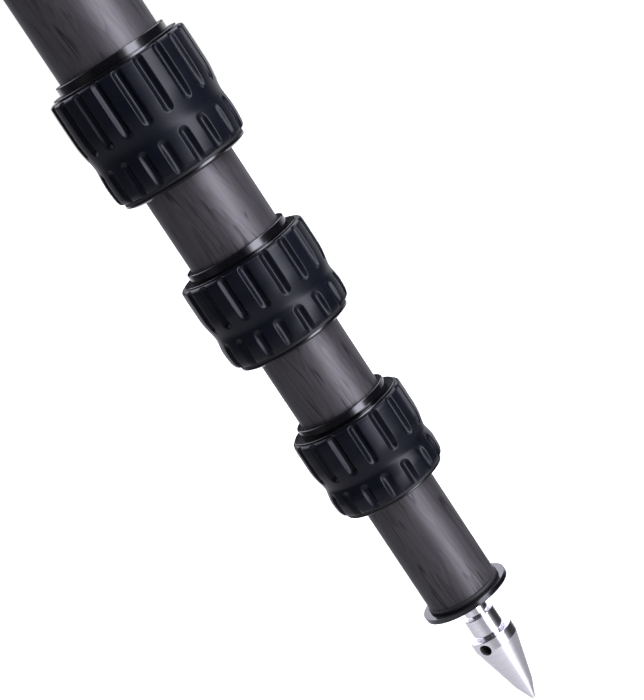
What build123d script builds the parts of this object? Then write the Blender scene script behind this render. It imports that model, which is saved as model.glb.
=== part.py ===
"""One leg of a camera tripod, hinge knuckle to spike.

Four carbon tubes slide into one another. A twist lock at the foot of each outer tube wedges a split
collet round the next tube. +Z is up, the leg hangs down from the pivot bore, which runs along X
through the origin, and -Y is the outer side of the leg. Lengths are in millimetres.
"""
from build123d import *
import math
import os

os.makedirs("parts", exist_ok=True)

# Tubes, numbered from the top
TUBE_1_OD = 40.0
TUBE_STEP = 4.0  # each tube is this much smaller than the one it slides in
TUBE_WALL = 1.4
KEYWAY_WIDTH = 3.4
KEYWAY_DEPTH = 0.65

# Places along the leg, as the photograph shows it: part way out
PIVOT_TO_LOCK_1 = 289.9
TUBE_2_SHOWN = 30.65
TUBE_3_SHOWN = 29.0
TUBE_4_SHOWN = 46.2
CLOSED_GAP = 1.0  # left between two locks when a section is pushed home
TOP_GAP = 3.0  # left above a tube's upper end when it is pushed home

# Grips of locks 1 to 3, measured outwards from the tube above the lock
GRIP_WALL = (7.55, 7.35, 6.75)
GRIP_WAIST_WALL = (6.25, 6.15, 5.4)
GRIP_BULGE_WALL = (6.75, 6.8, 6.3)
GRIP_HEIGHT = (41.55, 33.15, 31.2)
GRIP_GROOVES = (20, 18, 16)
GRIP_PHASE = (-2.6, -5.0, -1.9)  # degrees from the outer side to a groove
GROOVE_WIDTH = 3.4
UPPER_GROOVE_DEPTH = 0.25  # below the waist
LOWER_GROOVE_DEPTH = 1.1  # below the bulge
GRIP_EDGE = 1.0
STRAIGHT_TO = 0.33  # shares of the grip's height, from its top
UPPER_ROW_TO = 0.56
WAIST_AT = 0.645
LOWER_ROW_FROM = 0.73
BULGE_AT = 0.80

# Twist collar, measured outwards from the tube above the lock
CORE_WALL = 4.0
RIM_WALL = 5.2
RIM_HEIGHT = (1.0, 0.5, 0.7)
FOOT_RING_WALL = (4.6, 4.3, 4.1)
FOOT_RING_HEIGHT = (2.2, 2.1, 1.7)
FOOT_CHAMFER_HEIGHT = 0.7
FOOT_CHAMFER_INSET = 1.5

# Ferrule, bonded over the lower end of a tube
LIP_WALL = 2.1
LIP_HEIGHT = 3.2
LIP_CHAMFER = 0.3
THREAD_WALL = 1.6
BOND_LENGTH = 14.0
FERRULE_LENGTH = 18.5
BOND_GAP = 0.03

# Split collet, measured outwards from the tube that it grips
COLLET_HEAD_WALL = 1.85
COLLET_TOP_WALL = 1.55
COLLET_END_WALL = 0.85
COLLET_SLIT = 1.2
COLLET_FINGERS = 8
LUG_WIDTH = 4.0
LUG_HEIGHT = 2.6

# Dust seal in the mouth of the collar, measured outwards from the same tube
SEAL_WALL = 2.2
SEAL_HEIGHT = 3.2
SEAL_BACK_WALL = 0.7
SEAL_LIP_HEIGHT = 1.0
MOUTH_GAP = 0.7
MOUTH_LIP = 1.5
COLLET_TO_SEAL = 1.0

# Guide shims on the upper end of tubes 2 to 4
SHIM_LENGTH = 50.0
SHIM_FROM_END = 2.0
SHIM_SPAN = 166.0  # degrees
PEG_RADIUS = 3.0
KEY_HEIGHT = 0.5  # of the key above its shim

# Foot
BEAD_WALL = 0.5  # of the ring between tube 4 and the flange
BEAD_HEIGHT = 1.5
FLANGE_WALL = 3.3  # outwards from tube 4
FLANGE_HEIGHT = 2.0
FLANGE_EDGE = 0.2
PLUG_LENGTH = 24.0
INSERT_OD = 13.0
INSERT_LENGTH = 16.0
THREAD_RADIUS = 4.76  # three-eighths inch camera thread
SPIKE_NECK_RADIUS = 4.6
SPIKE_NECK_LENGTH = 8.2
RELIEF_RADIUS = 3.8
RELIEF_LENGTH = 0.8
BOSS_RADIUS = 6.15
BOSS_LENGTH = 6.0
WAIST_RADIUS = 4.9
WAIST_LENGTH = 2.3
HEAD_RADIUS = 8.75
HEAD_BAND = 4.1
CONE_LENGTH = 18.9
POINT_RADIUS = 3.75
POINT_LENGTH = 7.6
STUD_LENGTH = 14.0
STUD_CHAMFER = 0.8
CROSS_HOLE_RADIUS = 2.2
CROSS_HOLE_ANGLE = -37.0  # degrees from the outer side

# Hinge knuckle
SOCKET_WALL = 3.4
SOCKET_LENGTH = 32.0
SOCKET_FLOOR = 17.0  # below the pivot, the face that tube 1 ends on
SHOULDER_HEIGHT = 3.8
SHOULDER_CHAMFER = 3.0
SOCKET_LIP_CHAMFER = 1.0
TONGUE_WIDTH = 26.0
TONGUE_RADIUS = 14.0
TONGUE_CHAMFER = 0.8
SOCKET_GROOVE = 0.6
SOCKET_GROOVE_WIDTH = 1.6

# Pivot bushes
BUSH_OD = 12.0
PIVOT_RADIUS = 4.0
BUSH_APART = 2.0  # between the two, in the middle of the tongue
BUSH_FLANGE_OD = 18.0
BUSH_FLANGE = 1.0

# Angle latch, a plate that slides out through the tongue
LATCH_WIDTH = 15.6
LATCH_THICKNESS = 4.6
LATCH_CENTRE = -10.0  # height of the plate's middle
LATCH_INNER = 10.6  # plate's inner end, along Y
TAB_GAP = 1.0  # between the tab and the socket
NOSE_THICKNESS = 4.0
NOSE_TOP = 3.5
NOSE_CHAMFER = 1.2
TAB_DROP = 9.0
TAB_THICKNESS = 3.2
LATCH_TRAVEL = 5.0
CHANNEL_GAP = 0.2
PIN_RADIUS = 1.25
PIN_Y = -2.0
PIN_GAP = 0.15
SPRING_WIDTH = 3.4
SPRING_STRIP = 0.5  # thickness
SPRING_FOLDS = 6
SPRING_WINDOW = 4.6
SPRING_SEAT = 8.2  # inner end of the window, along Y

# Clearances
SLIDE_GAP = 0.06  # round a tube in its collet and a shim in its tube
TURN_GAP = 0.08  # round the ferrule's thread and the collet's taper
FACE_GAP = 0.15  # between the faces of a turning collar and what it meets
STUD_GAP = 0.06
KEY_GAP = 0.12


def tube_radius(n):
    """Outer radius of tube n."""
    return (TUBE_1_OD - TUBE_STEP * (n - 1)) / 2


def lock_height(n):
    """Lip of the ferrule to the foot of the collar."""
    head = LIP_HEIGHT + FACE_GAP + RIM_HEIGHT[n - 1]
    return head + GRIP_HEIGHT[n - 1] + FOOT_RING_HEIGHT[n - 1] + FOOT_CHAMFER_HEIGHT


SHOWN = (TUBE_2_SHOWN, TUBE_3_SHOWN, TUBE_4_SHOWN)
LOCK_TOP = {1: -PIVOT_TO_LOCK_1}
for lock in (2, 3):
    LOCK_TOP[lock] = LOCK_TOP[lock - 1] - lock_height(lock - 1) - SHOWN[lock - 2]
FOOT_TOP = LOCK_TOP[3] - lock_height(3) - TUBE_4_SHOWN
SPIKE_SEAT = FOOT_TOP - BEAD_HEIGHT - FLANGE_HEIGHT

TUBE_TOP = {1: -SOCKET_FLOOR}
for section in (2, 3, 4):
    home = SHOWN[section - 2] - CLOSED_GAP
    TUBE_TOP[section] = TUBE_TOP[section - 1] - TOP_GAP - home
TUBE_FOOT = {n: LOCK_TOP[n] - BOND_LENGTH for n in (1, 2, 3)}
TUBE_FOOT[4] = FOOT_TOP


def finish(builder, label):
    """Names a finished piece and writes it."""
    builder.part.label = label
    export_step(builder.part, f"parts/{label}.step")


def collet_end(n):
    """Height at which collet n ends."""
    mouth = MOUTH_LIP + SEAL_HEIGHT + FACE_GAP + COLLET_TO_SEAL
    return LOCK_TOP[n] - lock_height(n) + mouth


def make_tube(n):
    """Carbon tube with two keyways inside for the next section's keys."""
    radius = tube_radius(n)
    bore = radius - TUBE_WALL
    length = TUBE_TOP[n] - TUBE_FOOT[n]
    with BuildPart() as tube:
        with BuildSketch(Plane.XY.offset(TUBE_FOOT[n])):
            Circle(radius)
            Circle(bore, mode=Mode.SUBTRACT)
            if n < 4:
                Rectangle(2 * (bore + KEYWAY_DEPTH), KEYWAY_WIDTH, mode=Mode.SUBTRACT)
        extrude(amount=length)
        if n > 1:
            with BuildSketch(Plane.YZ.offset(-radius)):
                with Locations((0, peg_height(n))):
                    Circle(PEG_RADIUS + KEY_GAP)
            extrude(amount=2 * radius, mode=Mode.SUBTRACT)
    finish(tube, f"tube_{n}")


def peg_height(n):
    """Height of the pegs that hold the shims on tube n."""
    return TUBE_TOP[n] - SHIM_FROM_END - SHIM_LENGTH / 2


def make_ferrule(n):
    """Threaded sleeve bonded over the foot of tube n; its lip shows above the grip."""
    radius = tube_radius(n)
    top = LOCK_TOP[n]
    thread = radius + THREAD_WALL
    lip = radius + LIP_WALL
    bore = radius + BOND_GAP
    with BuildPart() as ferrule:
        with BuildSketch(Plane.XZ):
            with BuildLine():
                Polyline(
                    (bore, top),
                    (lip - LIP_CHAMFER, top),
                    (lip, top - LIP_CHAMFER),
                    (lip, top - LIP_HEIGHT),
                    (thread, top - LIP_HEIGHT),
                    (thread, top - FERRULE_LENGTH),
                    (bore, top - FERRULE_LENGTH),
                    close=True,
                )
            make_face()
        revolve(axis=Axis.Z)
        with BuildSketch(Plane.XY.offset(top - FERRULE_LENGTH)):
            Rectangle(LUG_WIDTH + 2 * KEY_GAP, 2 * lip)
        extrude(amount=LUG_HEIGHT + KEY_GAP, mode=Mode.SUBTRACT)
    finish(ferrule, f"ferrule_{n}")


def make_collet(n):
    """Split bush: a head with two lugs in the ferrule and tapered fingers round tube n + 1."""
    grip_radius = tube_radius(n + 1)
    bore = grip_radius + SLIDE_GAP
    top = TUBE_FOOT[n]
    shoulder = LOCK_TOP[n] - FERRULE_LENGTH
    end = collet_end(n)
    with BuildPart() as collet:
        with BuildSketch(Plane.XZ):
            with BuildLine():
                Polyline(
                    (bore, top),
                    (grip_radius + COLLET_HEAD_WALL, top),
                    (grip_radius + COLLET_HEAD_WALL, shoulder),
                    (grip_radius + COLLET_TOP_WALL, shoulder),
                    (grip_radius + COLLET_END_WALL, end),
                    (bore, end),
                    close=True,
                )
            make_face()
        revolve(axis=Axis.Z)
        with BuildSketch(Plane.XY.offset(shoulder)):
            Rectangle(LUG_WIDTH, 2 * (tube_radius(n) + THREAD_WALL - KEY_GAP))
            Circle(grip_radius + COLLET_TOP_WALL, mode=Mode.SUBTRACT)
        extrude(amount=LUG_HEIGHT)
        with BuildSketch(Plane.XY.offset(end)):
            with PolarLocations(grip_radius, COLLET_FINGERS, start_angle=180 / COLLET_FINGERS):
                Rectangle(2 * TUBE_STEP, COLLET_SLIT)
        extrude(amount=(shoulder - end) * 0.9, mode=Mode.SUBTRACT)
        with BuildSketch(Plane.XY.offset(end)):
            with PolarLocations(grip_radius, 1, start_angle=180 / COLLET_FINGERS):
                Rectangle(2 * TUBE_STEP, COLLET_SLIT)
        extrude(amount=top - end, mode=Mode.SUBTRACT)
    finish(collet, f"collet_{n}")


def make_collar(n):
    """Turning metal collar: rim, core under the rubber, foot ring, taper and seal seat inside."""
    above = tube_radius(n)
    below = tube_radius(n + 1)
    top = LOCK_TOP[n] - LIP_HEIGHT - FACE_GAP
    foot = LOCK_TOP[n] - lock_height(n)
    core_top = top - RIM_HEIGHT[n - 1]
    core_foot = foot + FOOT_CHAMFER_HEIGHT + FOOT_RING_HEIGHT[n - 1]
    ring = above + FOOT_RING_WALL[n - 1]
    thread_end = LOCK_TOP[n] - FERRULE_LENGTH - FACE_GAP
    seat_top = foot + MOUTH_LIP + SEAL_HEIGHT + FACE_GAP
    taper_run = (COLLET_TOP_WALL - COLLET_END_WALL) / (LOCK_TOP[n] - FERRULE_LENGTH - collet_end(n))
    taper_foot = COLLET_END_WALL - taper_run * COLLET_TO_SEAL
    with BuildPart() as collar:
        with BuildSketch(Plane.XZ):
            with BuildLine():
                Polyline(
                    (above + THREAD_WALL + TURN_GAP, top),
                    (above + RIM_WALL, top),
                    (above + RIM_WALL, core_top),
                    (above + CORE_WALL, core_top),
                    (above + CORE_WALL, core_foot),
                    (ring, core_foot),
                    (ring, foot + FOOT_CHAMFER_HEIGHT),
                    (ring - FOOT_CHAMFER_INSET, foot),
                    (below + MOUTH_GAP, foot),
                    (below + MOUTH_GAP, foot + MOUTH_LIP),
                    (below + SEAL_WALL, foot + MOUTH_LIP),
                    (below + SEAL_WALL, seat_top),
                    (below + taper_foot + TURN_GAP, seat_top),
                    (below + COLLET_TOP_WALL + TURN_GAP, thread_end),
                    (above + THREAD_WALL + TURN_GAP, thread_end),
                    close=True,
                )
            make_face()
        revolve(axis=Axis.Z)
    finish(collar, f"twist_collar_{n}")


def make_seal(n):
    """Wiper ring in the mouth of collar n, rubbing on tube n + 1."""
    below = tube_radius(n + 1)
    foot = LOCK_TOP[n] - lock_height(n) + MOUTH_LIP
    with BuildPart() as seal:
        with BuildSketch(Plane.XZ):
            with BuildLine():
                Polyline(
                    (below + SEAL_WALL - BOND_GAP, foot),
                    (below + SEAL_WALL - BOND_GAP, foot + SEAL_HEIGHT),
                    (below + SEAL_BACK_WALL, foot + SEAL_HEIGHT),
                    (below + SEAL_BACK_WALL, foot + SEAL_LIP_HEIGHT),
                    (below + SLIDE_GAP, foot),
                    close=True,
                )
            make_face()
        revolve(axis=Axis.Z)
    finish(seal, f"dust_seal_{n}")


def groove_planes(n, depth_radius):
    """Upright planes round the leg, one at the floor of each groove of grip n."""
    planes = []
    for i in range(GRIP_GROOVES[n - 1]):
        angle = math.radians(-90 + GRIP_PHASE[n - 1] + i * 360 / GRIP_GROOVES[n - 1])
        outwards = Vector(math.cos(angle), math.sin(angle), 0)
        sideways = Vector(-math.sin(angle), math.cos(angle), 0)
        planes.append(Plane(origin=outwards * depth_radius, x_dir=sideways, z_dir=outwards))
    return planes


def make_grip(n):
    """Rubber sleeve: a tall grooved row that fades into a waist, and a short grooved row below."""
    above = tube_radius(n)
    radius = above + GRIP_WALL[n - 1]
    waist = above + GRIP_WAIST_WALL[n - 1]
    bulge = above + GRIP_BULGE_WALL[n - 1]
    height = GRIP_HEIGHT[n - 1]
    core = above + CORE_WALL + BOND_GAP
    top = LOCK_TOP[n] - LIP_HEIGHT - FACE_GAP - RIM_HEIGHT[n - 1]
    foot = top - height
    upper_end = top - UPPER_ROW_TO * height
    lower_end = top - LOWER_ROW_FROM * height
    with BuildPart() as grip:
        with BuildSketch(Plane.XZ):
            with BuildLine():
                Polyline(
                    (core, foot),
                    (core, top),
                    (radius - GRIP_EDGE, top),
                    (radius, top - GRIP_EDGE),
                    (radius, top - STRAIGHT_TO * height),
                    (waist, top - WAIST_AT * height),
                    (bulge, top - BULGE_AT * height),
                    (bulge, foot + GRIP_EDGE),
                    (bulge - GRIP_EDGE, foot),
                    close=True,
                )
            make_face()
        revolve(axis=Axis.Z)
        with BuildSketch(*groove_planes(n, waist - UPPER_GROOVE_DEPTH)):
            with Locations((0, (upper_end + top) / 2)):
                Rectangle(GROOVE_WIDTH, top - upper_end)
        extrude(amount=GRIP_WALL[n - 1], mode=Mode.SUBTRACT)
        with BuildSketch(*groove_planes(n, bulge - LOWER_GROOVE_DEPTH)):
            with Locations((0, (lower_end + foot) / 2)):
                Rectangle(GROOVE_WIDTH, lower_end - foot)
        extrude(amount=GRIP_WALL[n - 1], mode=Mode.SUBTRACT)
    finish(grip, f"grip_{n}")


def half_plane(angle):
    """Upright plane through the leg's axis, turned by an angle from +X."""
    turned = math.radians(angle)
    return Plane(
        origin=(0, 0, 0),
        x_dir=(math.cos(turned), math.sin(turned), 0),
        z_dir=(math.sin(turned), -math.cos(turned), 0),
    )


def make_shims(n):
    """Two half shells on the upper end of tube n, each with a peg inside and a key outside."""
    inner = tube_radius(n) + BOND_GAP
    outer = tube_radius(n - 1) - TUBE_WALL - SLIDE_GAP
    foot = TUBE_TOP[n] - SHIM_FROM_END - SHIM_LENGTH
    peg_end = tube_radius(n) - TUBE_WALL + KEYWAY_DEPTH
    with BuildPart() as shims:
        for side in (0, 180):
            with BuildSketch(half_plane(side - SHIM_SPAN / 2)):
                with Locations(((inner + outer) / 2, foot + SHIM_LENGTH / 2)):
                    Rectangle(outer - inner, SHIM_LENGTH)
            revolve(axis=Axis.Z, revolution_arc=SHIM_SPAN)
        with BuildSketch(Plane.XY.offset(foot)):
            Rectangle(2 * (outer + KEY_HEIGHT), KEYWAY_WIDTH - 2 * KEY_GAP)
            Circle((inner + outer) / 2, mode=Mode.SUBTRACT)
        extrude(amount=SHIM_LENGTH)
        for side in (-1, 1):
            with BuildSketch(Plane.YZ.offset(side * peg_end)):
                with Locations((0, peg_height(n))):
                    Circle(PEG_RADIUS)
            extrude(amount=side * ((inner + outer) / 2 - peg_end))
    finish(shims, f"guide_shims_{n}")


def make_foot_plug():
    """Flanged plug bonded into tube 4, with a bead under the tube and a seat for the thread insert."""
    spigot = tube_radius(4) - TUBE_WALL - BOND_GAP
    bead = tube_radius(4) + BEAD_WALL
    flange = tube_radius(4) + FLANGE_WALL
    seat = INSERT_OD / 2 + BOND_GAP
    flange_top = FOOT_TOP - BEAD_HEIGHT
    plug_top = FOOT_TOP + PLUG_LENGTH
    seat_top = SPIKE_SEAT + INSERT_LENGTH
    with BuildPart() as plug:
        with BuildSketch(Plane.XZ):
            with BuildLine():
                Polyline(
                    (0, plug_top),
                    (spigot - FLANGE_EDGE, plug_top),
                    (spigot, plug_top - FLANGE_EDGE),
                    (spigot, FOOT_TOP),
                    (bead - FLANGE_EDGE, FOOT_TOP),
                    (bead, FOOT_TOP - FLANGE_EDGE),
                    (bead, flange_top),
                    (flange - FLANGE_EDGE, flange_top),
                    (flange, flange_top - FLANGE_EDGE),
                    (flange, SPIKE_SEAT + FLANGE_EDGE),
                    (flange - FLANGE_EDGE, SPIKE_SEAT),
                    (seat, SPIKE_SEAT),
                    (seat, seat_top),
                    (0, seat_top),
                    close=True,
                )
            make_face()
        revolve(axis=Axis.Z)
    finish(plug, "foot_plug")


def make_insert():
    """Metal thread insert in the foot plug."""
    with BuildPart() as insert:
        with BuildSketch(Plane.XY.offset(SPIKE_SEAT)):
            Circle(INSERT_OD / 2)
            Circle(THREAD_RADIUS, mode=Mode.SUBTRACT)
        extrude(amount=INSERT_LENGTH)
    finish(insert, "thread_insert")


def make_spike():
    """Turned spike: stud, neck, boss and a pointed head with a cross hole for a tommy bar."""
    stud = THREAD_RADIUS - STUD_GAP
    relief = SPIKE_SEAT - SPIKE_NECK_LENGTH
    boss = relief - RELIEF_LENGTH
    waist = boss - BOSS_LENGTH
    head = waist - WAIST_LENGTH
    cone = head - HEAD_BAND
    point = cone - CONE_LENGTH
    with BuildPart() as spike:
        with BuildSketch(Plane.XZ):
            with BuildLine():
                Polyline(
                    (0, SPIKE_SEAT + STUD_LENGTH),
                    (stud - STUD_CHAMFER, SPIKE_SEAT + STUD_LENGTH),
                    (stud, SPIKE_SEAT + STUD_LENGTH - STUD_CHAMFER),
                    (stud, SPIKE_SEAT),
                    (SPIKE_NECK_RADIUS, SPIKE_SEAT),
                    (SPIKE_NECK_RADIUS, relief),
                    (RELIEF_RADIUS, relief),
                    (RELIEF_RADIUS, boss),
                    (BOSS_RADIUS, boss),
                    (BOSS_RADIUS, waist),
                    (WAIST_RADIUS, waist),
                    (WAIST_RADIUS, head),
                    (HEAD_RADIUS, head),
                    (HEAD_RADIUS, cone),
                    (POINT_RADIUS, point),
                    (0, point - POINT_LENGTH),
                    close=True,
                )
            make_face()
        revolve(axis=Axis.Z)
        with BuildSketch(half_plane(CROSS_HOLE_ANGLE)):
            with Locations((0, head - HEAD_BAND / 2)):
                Circle(CROSS_HOLE_RADIUS)
        extrude(amount=2 * HEAD_RADIUS, both=True, mode=Mode.SUBTRACT)
    finish(spike, "spike")


def make_knuckle():
    """Hinge knuckle: socket over tube 1, shoulder, and the tongue with its bore and latch channel."""
    radius = tube_radius(1) + SOCKET_WALL
    mouth = -SOCKET_FLOOR - SOCKET_LENGTH
    shoulder = -SOCKET_FLOOR + SHOULDER_HEIGHT
    groove = mouth + 3 * SOCKET_GROOVE_WIDTH
    with BuildPart() as knuckle:
        with BuildSketch(Plane.YZ):
            Circle(TONGUE_RADIUS)
            with Locations((0, shoulder / 2)):
                Rectangle(2 * TONGUE_RADIUS, -shoulder)
        extrude(amount=TONGUE_WIDTH / 2, both=True)
        sides = knuckle.faces().filter_by(Axis.X)
        rims = sides.edges().filter_by(lambda edge: edge.center().Z > shoulder + 1)
        chamfer(rims, TONGUE_CHAMFER)
        with BuildSketch(Plane.XZ):
            with BuildLine():
                Polyline(
                    (0, shoulder),
                    (radius - SHOULDER_CHAMFER, shoulder),
                    (radius, shoulder - SHOULDER_CHAMFER),
                    (radius, groove + SOCKET_GROOVE_WIDTH),
                    (radius - SOCKET_GROOVE, groove + SOCKET_GROOVE_WIDTH),
                    (radius - SOCKET_GROOVE, groove),
                    (radius, groove),
                    (radius, mouth + SOCKET_LIP_CHAMFER),
                    (radius - SOCKET_LIP_CHAMFER, mouth),
                    (tube_radius(1) + BOND_GAP, mouth),
                    (tube_radius(1) + BOND_GAP, -SOCKET_FLOOR),
                    (0, -SOCKET_FLOOR),
                    close=True,
                )
            make_face()
        revolve(axis=Axis.Z)
        with BuildSketch(Plane.YZ.offset(-TONGUE_WIDTH)):
            Circle(BUSH_OD / 2 + BOND_GAP)
            with Locations((PIN_Y, LATCH_CENTRE)):
                Circle(PIN_RADIUS + BOND_GAP)
        extrude(amount=2 * TONGUE_WIDTH, mode=Mode.SUBTRACT)
        channel_end = LATCH_INNER + 2 * CHANNEL_GAP
        with BuildSketch(Plane.XZ.offset(-channel_end)):
            with Locations((0, LATCH_CENTRE)):
                Rectangle(LATCH_WIDTH + 2 * CHANNEL_GAP, LATCH_THICKNESS + 2 * CHANNEL_GAP)
        extrude(amount=channel_end + 2 * TONGUE_RADIUS, mode=Mode.SUBTRACT)
    finish(knuckle, "hinge_knuckle")


def make_bush(side, label):
    """Flanged plain bush in one end of the pivot bore."""
    face = TONGUE_WIDTH / 2
    length = (TONGUE_WIDTH - BUSH_APART) / 2
    with BuildPart() as bush:
        with BuildSketch(Plane.YZ.offset(side * face)):
            Circle(BUSH_FLANGE_OD / 2)
        extrude(amount=side * BUSH_FLANGE)
        with BuildSketch(Plane.YZ.offset(side * face)):
            Circle(BUSH_OD / 2)
        extrude(amount=-side * length)
        with BuildSketch(Plane.YZ.offset(side * (face + BUSH_FLANGE))):
            Circle(PIVOT_RADIUS)
        extrude(amount=-side * (length + BUSH_FLANGE), mode=Mode.SUBTRACT)
    finish(bush, label)


def make_latch():
    """Angle latch: a plate with a nose against the apex and a tab to pull it out by."""
    under = LATCH_CENTRE - LATCH_THICKNESS / 2
    top = LATCH_CENTRE + LATCH_THICKNESS / 2
    outer = -(tube_radius(1) + SOCKET_WALL + TAB_GAP + TAB_THICKNESS)
    nose = -TONGUE_RADIUS - FACE_GAP
    window = PIN_Y - PIN_RADIUS - PIN_GAP
    with BuildPart() as latch:
        with BuildSketch(Plane.YZ):
            with BuildLine():
                Polyline(
                    (LATCH_INNER, under),
                    (LATCH_INNER, top),
                    (nose, top),
                    (nose, NOSE_TOP),
                    (nose - NOSE_THICKNESS + NOSE_CHAMFER, NOSE_TOP),
                    (nose - NOSE_THICKNESS, NOSE_TOP - NOSE_CHAMFER),
                    (nose - NOSE_THICKNESS, top),
                    (outer + NOSE_CHAMFER, top),
                    (outer, top - NOSE_CHAMFER),
                    (outer, under - TAB_DROP),
                    (outer + TAB_THICKNESS, under - TAB_DROP),
                    (outer + TAB_THICKNESS, under),
                    close=True,
                )
            make_face()
        extrude(amount=LATCH_WIDTH / 2, both=True)
        tab_corners = latch.edges().filter_by(Axis.Y).group_by(Axis.Z)[0]
        fillet(tab_corners, TAB_THICKNESS)
        with BuildSketch(Plane.XY.offset(under)):
            with Locations((0, (window + SPRING_SEAT) / 2)):
                Rectangle(SPRING_WINDOW, SPRING_SEAT - window)
        extrude(amount=LATCH_THICKNESS, mode=Mode.SUBTRACT)
        with BuildSketch(Plane.YZ.offset(-LATCH_WIDTH)):
            with Locations((PIN_Y + LATCH_TRAVEL / 2, LATCH_CENTRE)):
                SlotCenterToCenter(LATCH_TRAVEL, 2 * (PIN_RADIUS + PIN_GAP))
        extrude(amount=2 * LATCH_WIDTH, mode=Mode.SUBTRACT)
    finish(latch, "angle_latch")


def make_latch_pin():
    """Dowel across the tongue that keeps the latch in and backs its spring."""
    with BuildPart() as pin:
        with BuildSketch(Plane.YZ.offset(-TONGUE_WIDTH / 2)):
            with Locations((PIN_Y, LATCH_CENTRE)):
                Circle(PIN_RADIUS)
        extrude(amount=TONGUE_WIDTH)
    finish(pin, "latch_pin")


def make_latch_spring():
    """Folded strip spring from the pin to the inner end of the latch's window."""
    first = PIN_Y + PIN_RADIUS + SPRING_STRIP / 2
    fold = (SPRING_SEAT - SPRING_STRIP / 2 - first) / SPRING_FOLDS
    reach = (SPRING_WIDTH - SPRING_STRIP) / 2
    points = [(reach * (-1) ** i, first + fold * i) for i in range(SPRING_FOLDS + 1)]
    with BuildPart() as spring:
        with BuildSketch(Plane.XY.offset(LATCH_CENTRE)):
            with BuildLine() as strip:
                Polyline(*points)
            trace(line_width=SPRING_STRIP)
        extrude(amount=SPRING_WIDTH / 2, both=True)
    finish(spring, "latch_spring")


for number in (1, 2, 3, 4):
    make_tube(number)
for number in (1, 2, 3):
    make_ferrule(number)
    make_collet(number)
    make_collar(number)
    make_seal(number)
    make_grip(number)
for number in (2, 3, 4):
    make_shims(number)
make_foot_plug()
make_insert()
make_spike()
make_knuckle()
make_bush(-1, "pivot_bush_left")
make_bush(1, "pivot_bush_right")
make_latch()
make_latch_pin()
make_latch_spring()
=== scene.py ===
# %% [markdown]
# # A telescopic tripod leg, made to look like the photograph
#
# The CAD model fixes every size and every joint. This lesson dresses it: the tubes, ferrules, twist collars
# and the spike are turned again with rounded edges, the rubber grips get their moulded grooves by a rule, and
# each surface gets a material made of noise and colour ramps. Everything is in metres in the CAD frame: the
# leg hangs from its pivot at the origin, +Z up, and -Y is the outer side, which faces the camera.

import math

import bmesh
import bpy
import numpy as np
from mathutils import Matrix, Vector


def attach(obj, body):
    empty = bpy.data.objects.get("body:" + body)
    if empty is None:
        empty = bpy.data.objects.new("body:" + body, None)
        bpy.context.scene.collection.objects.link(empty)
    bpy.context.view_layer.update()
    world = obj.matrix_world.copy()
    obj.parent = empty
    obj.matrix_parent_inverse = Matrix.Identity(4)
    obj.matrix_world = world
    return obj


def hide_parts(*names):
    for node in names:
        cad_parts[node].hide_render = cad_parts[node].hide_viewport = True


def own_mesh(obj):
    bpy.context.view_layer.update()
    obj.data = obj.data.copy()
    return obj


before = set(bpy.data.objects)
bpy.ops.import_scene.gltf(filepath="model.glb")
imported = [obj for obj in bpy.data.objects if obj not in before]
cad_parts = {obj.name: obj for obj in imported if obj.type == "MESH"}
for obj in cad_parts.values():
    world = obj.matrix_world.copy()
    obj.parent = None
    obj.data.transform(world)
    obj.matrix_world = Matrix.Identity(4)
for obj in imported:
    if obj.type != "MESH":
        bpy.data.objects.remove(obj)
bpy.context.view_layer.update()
MM = 0.001
LOCKS = (1, 2, 3)

# %% [markdown]
# ## Sizes
#
# These are the driving sizes of the leg in millimetres. Tube 1 is the outer and upper one. Each lock has a
# ferrule on the upper tube, and a collar with its rubber grip that turns on it. Walls are measured outwards
# from the tube above the lock, and those of the seal and the collet from the tube below it, so a lock keeps
# its thickness whatever tube it is on. A tube's shown length is what can be seen of it under the lock above.
# A phase is the angle in degrees from the leg's outer side to a groove. The last four sizes are gaps: between
# faces, in a running fit, in a bond, and a hair's breadth.

# %% Sizes of the leg
TUBES = (1, 2, 3, 4)
TUBE_RADIUS = {1: 20.0, 2: 18.0, 3: 16.0, 4: 14.0}
TUBE_WALL = 1.4
LOCK_1_TOP = -289.9
SHOWN = {2: 30.65, 3: 29.0, 4: 46.2}
LIP_WALL = 2.1
LIP_HEIGHT = 3.2
THREAD_WALL = 1.6
FERRULE_LENGTH = 18.5
RIM_WALL = 5.2
RIM_HEIGHT = {1: 1.0, 2: 0.5, 3: 0.7}
CORE_WALL = 4.0
RING_WALL = {1: 4.6, 2: 4.3, 3: 4.1}
RING_HEIGHT = {1: 2.2, 2: 2.1, 3: 1.7}
RING_CHAMFER = 0.7
RING_INSET = 1.5
MOUTH_LIP = 1.5
SEAL_WALL = 2.2
SEAL_HEIGHT = 3.2
GRIP_HEIGHT = {1: 41.55, 2: 33.15, 3: 31.2}
GRIP_WALL = {1: 7.55, 2: 7.35, 3: 6.75}
WAIST_WALL = {1: 6.25, 2: 6.15, 3: 5.4}
BULGE_WALL = {1: 6.75, 2: 6.8, 3: 6.3}
GROOVES = {1: 20, 2: 18, 3: 16}
PHASE = {1: -2.6, 2: -5.0, 3: -1.9}
FACE_GAP = 0.15
RUNNING_GAP = 0.08
BOND_GAP = 0.03
HAIR = 0.02

lock_height = {}
for n in LOCKS:
    lock_height[n] = LIP_HEIGHT + FACE_GAP + RIM_HEIGHT[n] + GRIP_HEIGHT[n] + RING_HEIGHT[n] + RING_CHAMFER
lock_top = {1: LOCK_1_TOP}
for n in (2, 3):
    lock_top[n] = lock_top[n - 1] - lock_height[n - 1] - SHOWN[n]
foot_top = lock_top[3] - lock_height[3] - SHOWN[4]
print("lock tops:", {n: round(z, 2) for n, z in lock_top.items()}, "foot:", round(foot_top, 2))

# %% [markdown]
# ## Camera
#
# The photograph looks slightly down on the leg and is turned, so that the leg runs from the upper left to the
# lower right. The camera was placed by measuring how fast the tubes taper towards the foot.

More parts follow.
